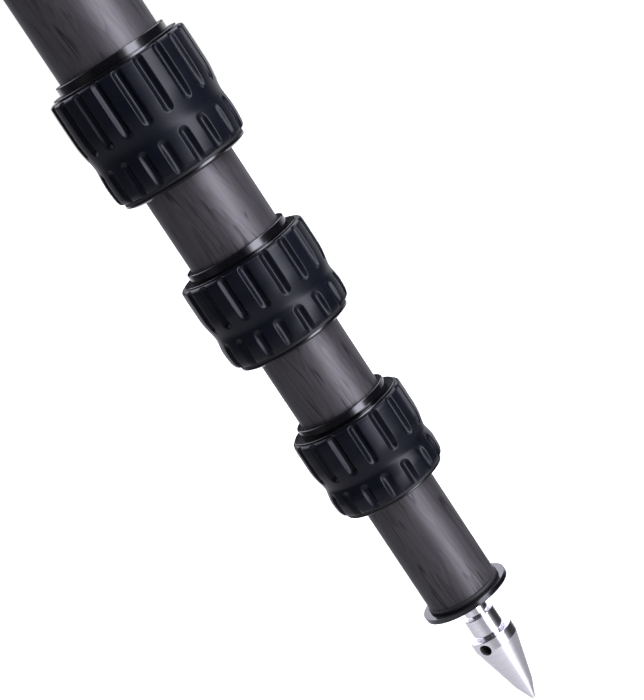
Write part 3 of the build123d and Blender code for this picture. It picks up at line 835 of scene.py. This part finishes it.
def groove_tree():
    """Geometry Nodes that press two rows of grooves into a turned blank."""
    tree = bpy.data.node_groups.new("moulded_grooves", "GeometryNodeTree")
    face = tree.interface
    face.new_socket("Geometry", in_out="INPUT", socket_type="NodeSocketGeometry")
    face.new_socket("Grooves", in_out="INPUT", socket_type="NodeSocketInt")
    for name in ("First angle", "Half width", "Upper floor", "Upper start", "Upper end", "Lower floor",
                 "Lower end"):
        face.new_socket(name, in_out="INPUT", socket_type="NodeSocketFloat")
    face.new_socket("Material", in_out="INPUT", socket_type="NodeSocketMaterial")
    face.new_socket("Geometry", in_out="OUTPUT", socket_type="NodeSocketGeometry")
    given = add(tree, "NodeGroupInput").outputs

    def step(operation, a, b=0.0):
        """One arithmetic step of this tree."""
        return maths(tree, operation, a, b)

    def distance(a, b):
        """How far it is by a one way and by b square to it."""
        return step("SQRT", step("ADD", step("MULTIPLY", a, a), step("MULTIPLY", b, b)))

    position = add(tree, "GeometryNodeInputPosition").outputs[0]
    x, y, z = add(tree, "ShaderNodeSeparateXYZ", {0: position}).outputs
    radius = distance(x, y)
    angle = step("SUBTRACT", step("ARCTAN2", y, x), given["First angle"])
    pitch = step("DIVIDE", math.tau, given["Grooves"])
    turns = step("DIVIDE", angle, pitch)
    off = step("SUBTRACT", turns, step("ROUND", turns))
    across = step("MULTIPLY", step("ABSOLUTE", step("MULTIPLY", off, pitch)), radius)

    def pressed(floor, below, over):
        """Depth of a slot between the heights below and over, round in section and at its ends."""
        half = given["Half width"]
        under = step("ADD", step("SUBTRACT", below, z), half)
        past = step("ADD", step("SUBTRACT", z, over), half)
        beyond = step("MAXIMUM", step("MAXIMUM", under, past), 0.0)
        off_centre = step("MINIMUM", step("DIVIDE", distance(across, beyond), half), 1.0)
        section = step("SUBTRACT", 1.0, step("MULTIPLY", off_centre, off_centre))
        drop = step("MAXIMUM", step("SUBTRACT", radius, floor), 0.0)
        return step("MULTIPLY", step("POWER", section, SECTION_POWER), drop)

    upper = pressed(given["Upper floor"], given["Upper end"], given["Upper start"])
    lower = pressed(given["Lower floor"], FAR_BELOW, given["Lower end"])
    inwards = step("MULTIPLY", step("ADD", upper, lower), -1.0)
    flat = add(tree, "ShaderNodeCombineXYZ", {"X": x, "Y": y}).outputs[0]
    outwards = add(tree, "ShaderNodeVectorMath", {0: flat}, operation="NORMALIZE").outputs[0]
    move = add(tree, "ShaderNodeVectorMath", {0: outwards, "Scale": inwards}, operation="SCALE").outputs[0]
    moved = add(tree, "GeometryNodeSetPosition", {"Geometry": given["Geometry"], "Offset": move}).outputs[0]
    real = add(tree, "GeometryNodeRealizeInstances", {"Geometry": moved}).outputs[0]
    coated = add(tree, "GeometryNodeSetMaterial", {"Geometry": real, "Material": given["Material"]})
    add(tree, "NodeGroupOutput", {0: coated.outputs[0]})
    return tree


grooves = groove_tree()
sockets = {item.name: item.identifier for item in grooves.interface.items_tree if item.in_out == "INPUT"}
for n in LOCKS:
    top = lock_top[n] - LIP_HEIGHT - FACE_GAP - RIM_HEIGHT[n]
    host = bpy.data.objects.new("blank", blanks[n])
    scene.collection.objects.link(host)
    rule = host.modifiers.new("grooves", "NODES")
    rule.node_group = grooves
    settings = {
        "Grooves": GROOVES[n],
        "First angle": math.radians(PHASE[n] - 90),
        "Half width": GROOVE_HALF_WIDTH * MM,
        "Upper floor": (TUBE_RADIUS[n] + WAIST_WALL[n] - UPPER_BELOW_WAIST) * MM,
        "Upper start": (top + UPPER_ABOVE_TOP) * MM,
        "Upper end": (top - UPPER_TO * GRIP_HEIGHT[n]) * MM,
        "Lower floor": (TUBE_RADIUS[n] + BULGE_WALL[n] - LOWER_BELOW_BULGE) * MM,
        "Lower end": (top - LOWER_FROM * GRIP_HEIGHT[n]) * MM,
        "Material": rubber,
    }
    for name, value in settings.items():
        rule[sockets[name]] = value
    host.update_tag()
    mesh = applied(host)
    bpy.data.objects.remove(host)
    mesh.name = f"grip_{n}_grooved"
    finished(f"rubber_grip_{n}", mesh, rubber, f"lock_{n}", [f"grip_{n}"], sharp=60)
    print(f"grip {n}:", len(mesh.polygons), "faces")

# %% [markdown]
# ## Dust seals
#
# A wiper ring sits in the mouth of each collar and rubs the tube below, to keep grit out of the collet.

# %% Dust seals
SEAL_BACK_WALL = 0.7
SEAL_LIP_HEIGHT = 1.0
SEAL_LIP_GAP = 0.06

for n in LOCKS:
    below = TUBE_RADIUS[n + 1]
    foot = lock_top[n] - lock_height[n] + MOUTH_LIP
    outer, back = below + SEAL_WALL - BOND_GAP, below + SEAL_BACK_WALL
    mesh = turned(f"seal_{n}_turned", soften([
        (outer, foot, 0.2), (outer, foot + SEAL_HEIGHT, 0), (back, foot + SEAL_HEIGHT, 0),
        (back, foot + SEAL_LIP_HEIGHT, 0), (below + SEAL_LIP_GAP, foot, 0),
    ]))
    finished(f"wiper_{n}", mesh, seal_rubber, f"lock_{n}", [f"dust_seal_{n}"])
    print(f"seal {n}:", len(mesh.polygons), "faces")

# %% [markdown]
# ## Foot plug
#
# The plug is bonded into tube 4. A narrow matt gasket seals the tube's end, and the flange under it keeps the
# leg from sinking into soft ground. The gasket's near-black rubber is painted shade for the shadowed band
# under the tube.

# %% Foot plug
PLUG_LENGTH = 24
FOOT_NECK = 13.6
FOOT_BEAD = 14.5
BEAD_HEIGHT = 1.5
FOOT_FLANGE = 17.3
FLANGE_HEIGHT = 2.0
INSERT_POCKET = 6.53
INSERT_LENGTH = 16

spigot = TUBE_RADIUS[4] - TUBE_WALL - BOND_GAP
plug_top = foot_top + PLUG_LENGTH
flange_top = foot_top - BEAD_HEIGHT
foot_face = flange_top - FLANGE_HEIGHT
mesh = turned("foot_plug_turned", soften([
    (0, plug_top, 0), (spigot, plug_top, 0.4), (spigot, foot_top, 0), (FOOT_NECK, foot_top, 0),
    (FOOT_NECK, flange_top, 0), (FOOT_FLANGE, flange_top, 0.15), (FOOT_FLANGE, foot_face, 0.2),
    (INSERT_POCKET, foot_face, 0), (INSERT_POCKET, foot_face + INSERT_LENGTH, 0),
    (0, foot_face + INSERT_LENGTH, 0),
]))
finished("foot_flange", mesh, anodised, "section_4", ["foot_plug"])
print("foot plug:", len(mesh.polygons), "faces")
bead_top, bead_foot = foot_top - HAIR, flange_top + HAIR
# A near-black ring over the flange: painted shade for the shadowed band under the tube.
mesh = turned("foot_gasket_turned", soften([
    (FOOT_NECK + HAIR, bead_foot, 0), (FOOT_BEAD, bead_foot, 0.2), (FOOT_BEAD, bead_top, 0.6),
    (FOOT_NECK + HAIR, bead_top, 0),
]))
finished("foot_gasket", mesh, painted_shade_rubber, "section_4", [])

# %% [markdown]
# ## Spike
#
# The spike is turned from bar: a neck, a boss between two grooves, and a head that runs down to a blunt
# point. A cross hole takes a bar to tighten it. A thin sleeve with a dull brown material lines its wall as
# painted shade, for the dark inside of the hole. Each pair of sizes is a radius and a length.

# %% Spike
STUD = (4.7, 14)
NECK = (4.6, 7.0)
RELIEF = (3.8, 0.8)
BOSS = (6.15, 7.5)
WAIST = (4.9, 0.9)
HEAD = (8.75, 4.3)
CONE = (3.75, 19.8)
TIP = (0.8, 7.6)
TIP_EDGE = 0.5
HOLE_RADIUS = 2.3
HOLE_BELOW_HEAD = 3.15
HOLE_ANGLE = -37
HOLE_STEPS = 48
SLEEVE_RADII = (2.29, 2.22)
SLEEVE_HALF = 8.0

stud_top = foot_face + STUD[1]
relief = foot_face - NECK[1]
boss = relief - RELIEF[1]
waist = boss - BOSS[1]
head = waist - WAIST[1]
cone = head - HEAD[1]
point = cone - CONE[1]
tip = point - TIP[1]
mesh = turned("spike_turned", soften([
    (0, stud_top, 0), (STUD[0], stud_top, 0.8), (STUD[0], foot_face, 0), (NECK[0], foot_face, 0),
    (NECK[0], relief, 0.15), (RELIEF[0], relief, 0), (RELIEF[0], boss, 0), (BOSS[0], boss, 0.2),
    (BOSS[0], waist, 0.12), (WAIST[0], waist, 0), (WAIST[0], head, 0), (HEAD[0], head, 0.2),
    (HEAD[0], cone, 0.05), (CONE[0], point, 0.8), (TIP[0], tip + TIP_EDGE, 0.4), (0, tip, 0),
]), steps=192)
across = Matrix.Translation((0, 0, (head - HOLE_BELOW_HEAD) * MM))
across = across @ Matrix.Rotation(math.radians(HOLE_ANGLE - 90), 4, "Z")
across = across @ Matrix.Rotation(math.radians(90), 4, "Y")
hole = rod("cross_hole", HOLE_RADIUS, 12, steps=HOLE_STEPS)
hole.transform(across)
mesh = carve(mesh, [hole])
finished("steel_spike", mesh, steel, "spike", ["spike"])
print("spike:", len(mesh.polygons), "faces")
outer, inner = SLEEVE_RADII
# A dull brown sleeve inside the cross hole: painted shade for its dark inside.
sleeve = turned("hole_sleeve", [
    (outer, -SLEEVE_HALF), (outer, SLEEVE_HALF), (inner, SLEEVE_HALF), (inner, -SLEEVE_HALF),
], steps=HOLE_STEPS)
sleeve.transform(across)
finished("cross_hole_shade_lining", sleeve, painted_shade_steel, "spike", [])

# %% [markdown]
# ## Prisms
#
# The hinge end has flat pieces too. A prism is an outline drawn from one side and given a width, and
# `bevelled` breaks every edge that is sharper than the given angle, as a maker does with a file.


# %% Prisms
def prism(outline, half, side=True):
    """A mesh from an outline: (y, z) points given a width along X, or (x, z) points given one along Y."""
    made = bmesh.new()
    ends = []
    for w in (-half, half):
        places = [(w, a, b) if side else (a, w, b) for a, b in outline]
        ends.append([made.verts.new(Vector(place) * MM) for place in places])
    made.faces.new(ends[0])
    made.faces.new(ends[1])
    count = len(outline)
    for i in range(count):
        made.faces.new((ends[0][i], ends[0][(i + 1) % count], ends[1][(i + 1) % count], ends[1][i]))
    bmesh.ops.recalc_face_normals(made, faces=made.faces)
    mesh = bpy.data.meshes.new("prism")
    made.to_mesh(mesh)
    made.free()
    return mesh


def bevelled(mesh, width, angle=35, segments=3):
    """The mesh with its sharp edges rounded by that many millimetres."""
    made = bmesh.new()
    made.from_mesh(mesh)
    bmesh.ops.recalc_face_normals(made, faces=made.faces)
    sharp = [edge for edge in made.edges if edge.calc_face_angle(0.0) > math.radians(angle)]
    bmesh.ops.bevel(made, geom=sharp, offset=width * MM, segments=segments, profile=0.5, affect="EDGES",
                    clamp_overlap=True)
    made.to_mesh(mesh)
    made.free()
    return mesh


print("prisms ready")

# %% [markdown]
# ## Hinge knuckle
#
# The knuckle closes the top of tube 1. Its socket is turned and its tongue is milled, so the two are made
# apart and joined, and then the pivot bore, the dowel's hole and the latch's channel are cut. The two heights
# of the ring mark are counted from the mouth.

# %% Hinge knuckle
TONGUE_ROUND = 14.0
TONGUE_HALF = 13.0
TONGUE_STEPS = 48
TONGUE_EDGE = 0.8
TONGUE_SUNK = 1.8
SHOULDER = -13.2
SHOULDER_HEIGHT = 3.0
SHOULDER_RADIUS = 20.4
SOCKET_RADIUS = 23.4
MOUTH = -49.0
MOUTH_CHAMFER = 1.0
RING_MARK_RADIUS = 22.8
RING_MARK_FROM, RING_MARK_TO = 4.8, 6.4
BUSH_RADIUS = 6.0
DOWEL_RADIUS = 1.25
DOWEL_Y = -2.0
LATCH_Z = -10.0
CHANNEL_SIZE = (16.0, 39.0, 5.0)
CHANNEL_PLACE = (0, -8.5, LATCH_Z)

mark_top, mark_foot = MOUTH + RING_MARK_TO, MOUTH + RING_MARK_FROM
bore = TUBE_RADIUS[1] + BOND_GAP
socket = turned("socket_turned", soften([
    (0, SHOULDER, 0), (SHOULDER_RADIUS, SHOULDER, 0.8), (SOCKET_RADIUS, SHOULDER - SHOULDER_HEIGHT, 0.8),
    (SOCKET_RADIUS, mark_top, 0.12), (RING_MARK_RADIUS, mark_top, 0), (RING_MARK_RADIUS, mark_foot, 0),
    (SOCKET_RADIUS, mark_foot, 0.12), (SOCKET_RADIUS, MOUTH + MOUTH_CHAMFER, 0.3),
    (SOCKET_RADIUS - MOUTH_CHAMFER, MOUTH, 0.3), (bore, MOUTH, 0), (bore, TUBE_1_TOP, 0), (0, TUBE_1_TOP, 0),
]))
tongue_foot = SHOULDER - TONGUE_SUNK
outline = [(TONGUE_ROUND, tongue_foot)]
for k in range(TONGUE_STEPS + 1):
    a = math.pi * k / TONGUE_STEPS
    outline.append((TONGUE_ROUND * math.cos(a), TONGUE_ROUND * math.sin(a)))
outline.append((-TONGUE_ROUND, tongue_foot))
tongue = bevelled(prism(outline, TONGUE_HALF), TONGUE_EDGE)
mesh = carve(socket, [tongue], "UNION")
pivot_bore = rod("bore", BUSH_RADIUS + BOND_GAP, 20, steps=96, axes=ABOUT_X)
dowel_hole = shifted(rod("pin_hole", DOWEL_RADIUS + BOND_GAP, 20, axes=ABOUT_X), DOWEL_Y, LATCH_Z)
channel = slab(CHANNEL_SIZE, CHANNEL_PLACE)
mesh = carve(mesh, [pivot_bore, dowel_hole, channel])
finished("milled_knuckle", mesh, anodised, "upper_section", ["hinge_knuckle"])
print("knuckle:", len(mesh.polygons), "faces")

# %% [markdown]
# ## Pivot bushes and pin
#
# Two flanged bushes keep the pivot bolt from wearing the knuckle, and a dowel across the tongue holds the
# latch. They are turned about X, which the lathe does by swapping the order of its axes.

# %% Pivot bushes and pin
BUSH_BORE = 4.0
BUSH_FLANGE = 9.0
BUSH_INNER_END = 1.0
THRUST_FACE = 14.0

for side, name in ((-1, "left"), (1, "right")):
    end, collar, face = side * BUSH_INNER_END, side * TONGUE_HALF, side * THRUST_FACE
    mesh = turned(f"bush_{name}_turned", soften([
        (BUSH_BORE, end, 0), (BUSH_RADIUS, end, 0), (BUSH_RADIUS, collar, 0), (BUSH_FLANGE, collar, 0.1),
        (BUSH_FLANGE, face, 0.35), (BUSH_BORE, face, 0.35),
    ]), steps=96, axes=ABOUT_X)
    finished(f"flanged_bush_{name}", mesh, bush_polymer, "upper_section", [f"pivot_bush_{name}"])
mesh = turned("dowel_turned", soften([
    (0, -TONGUE_HALF, 0), (DOWEL_RADIUS, -TONGUE_HALF, 0.25), (DOWEL_RADIUS, TONGUE_HALF, 0.25),
    (0, TONGUE_HALF, 0),
]), steps=40, axes=ABOUT_X)
shifted(mesh, DOWEL_Y, LATCH_Z)
finished("latch_dowel", mesh, pin_steel, "upper_section", ["latch_pin"])
print("bushes and pin made")

# %% [markdown]
# ## Angle latch
#
# The latch is a plate that slides in the channel. Its nose stands before the apex and its tab is pulled with
# a finger, so the tab's corners are round and three shallow grooves keep the finger from slipping. The dowel
# runs in its slot, and the spring stands in its window.

# %% Angle latch
PLATE_FOOT = -12.3
PLATE_TOP = -7.7
PLATE_INNER = 10.6
LATCH_HALF = 7.8
NOSE_INNER = -14.15
NOSE_THICK = 4.0
NOSE_TOP = 3.5
LATCH_OUTER = -27.6
TAB_THICK = 3.2
TAB_DROP = 9.0
TAB_ROUND = 3.2
TAB_ROUND_STEPS = 8
TRIM_ABOVE_NOSE = 0.5
TRIM_HALF = 40.0
CORNER = 1.2
LATCH_EDGE = 0.4
SLOT_FROM, SLOT_TO = -2.0, 3.0
SLOT_RADIUS = 1.4
WINDOW_SIZE = (4.6, 11.6, 8.0)
WINDOW_PLACE = (0, 2.4, LATCH_Z)
FINGER_GROOVES = 3
FINGER_GROOVE_RADIUS = 0.7
FINGER_GROOVE_PITCH = 2.4
FINGER_GROOVE_OUT = 0.2

nose_outer = NOSE_INNER - NOSE_THICK
tab_inner = LATCH_OUTER + TAB_THICK
tab_foot = PLATE_FOOT - TAB_DROP
mesh = prism([
    (PLATE_INNER, PLATE_FOOT), (PLATE_INNER, PLATE_TOP), (NOSE_INNER, PLATE_TOP), (NOSE_INNER, NOSE_TOP),
    (nose_outer + CORNER, NOSE_TOP), (nose_outer, NOSE_TOP - CORNER), (nose_outer, PLATE_TOP),
    (LATCH_OUTER + CORNER, PLATE_TOP), (LATCH_OUTER, PLATE_TOP - CORNER), (LATCH_OUTER, tab_foot),
    (tab_inner, tab_foot), (tab_inner, PLATE_FOOT),
], LATCH_HALF)
trim_top = NOSE_TOP + TRIM_ABOVE_NOSE
from_front = [(LATCH_HALF, trim_top), (-LATCH_HALF, trim_top)]
for side, start in ((-1, 180), (1, 270)):
    for k in range(TAB_ROUND_STEPS + 1):
        a = math.radians(start + 90 * k / TAB_ROUND_STEPS)
        from_front.append((side * (LATCH_HALF - TAB_ROUND) + TAB_ROUND * math.cos(a),
                           tab_foot + TAB_ROUND + TAB_ROUND * math.sin(a)))
mesh = carve(mesh, [prism(from_front, TRIM_HALF, side=False)], "INTERSECT")
mesh = bevelled(mesh, LATCH_EDGE)
window = slab(WINDOW_SIZE, WINDOW_PLACE)
slot = slab((20.0, SLOT_TO - SLOT_FROM, 2 * SLOT_RADIUS), (0, (SLOT_FROM + SLOT_TO) / 2, LATCH_Z))
cutters = [window, slot]
for y in (SLOT_FROM, SLOT_TO):
    cutters.append(shifted(rod("slot_end", SLOT_RADIUS, 10, axes=ABOUT_X), y, LATCH_Z))
for k in range(FINGER_GROOVES):
    finger_groove = rod("finger_groove", FINGER_GROOVE_RADIUS, 9, steps=32, axes=ABOUT_X)
    z = PLATE_FOOT - CORNER - FINGER_GROOVE_PITCH * k
    cutters.append(shifted(finger_groove, LATCH_OUTER - FINGER_GROOVE_OUT, z))
mesh = carve(mesh, cutters)
finished("pull_latch", mesh, anodised, "angle_latch", ["angle_latch"])
print("latch:", len(mesh.polygons), "faces")

# %% [markdown]
# ## Latch spring
#
# A folded steel strip pushes the latch back. It stands between the dowel and the inner end of the latch's
# window.

# %% Latch spring
STRIP_HALF = 0.24
SPRING_HALF_WIDTH = 1.7
FOLDS = 6
FOLD_REACH = 1.45
FOLD_STEPS = 12

dowel_side, window_end = -0.74, 8.15
length = window_end - dowel_side - 2 * STRIP_HALF
centre = []
for k in range(FOLDS * FOLD_STEPS + 1):
    t = k / FOLD_STEPS
    centre.append(Vector((FOLD_REACH * math.cos(math.pi * t), dowel_side + STRIP_HALF + length * t / FOLDS)))
sides = ([], [])
for k, spot in enumerate(centre):
    tangent = (centre[min(k + 1, len(centre) - 1)] - centre[max(k - 1, 0)]).normalized()
    normal = Vector((-tangent.y, tangent.x)) * STRIP_HALF
    sides[0].append(tuple(spot + normal))
    sides[1].append(tuple(spot - normal))
mesh = prism(sides[0] + sides[1][::-1], SPRING_HALF_WIDTH, side=False)
mesh.transform(Matrix.Translation((0, 0, LATCH_Z * MM)) @ Matrix.Rotation(math.radians(-90), 4, "X"))
spring = finished("folded_spring", mesh, pin_steel, "upper_section", ["latch_spring"])
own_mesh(spring)
print("spring:", len(mesh.polygons), "faces")

# %% [markdown]
# ## Pieces kept from the CAD model
#
# The collets, shims and insert are sealed inside, where the CAD shape is enough. They only get their
# materials.

# %% Pieces kept from the CAD model
kept = {"thread_insert": insert_steel}
for n in LOCKS:
    kept[f"collet_{n}"] = collet_polymer
    kept[f"guide_shims_{n + 1}"] = shim_polymer
for node, material in kept.items():
    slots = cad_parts[node].data.materials
    slots.clear()
    slots.append(material)
print("kept nodes:", len(kept))
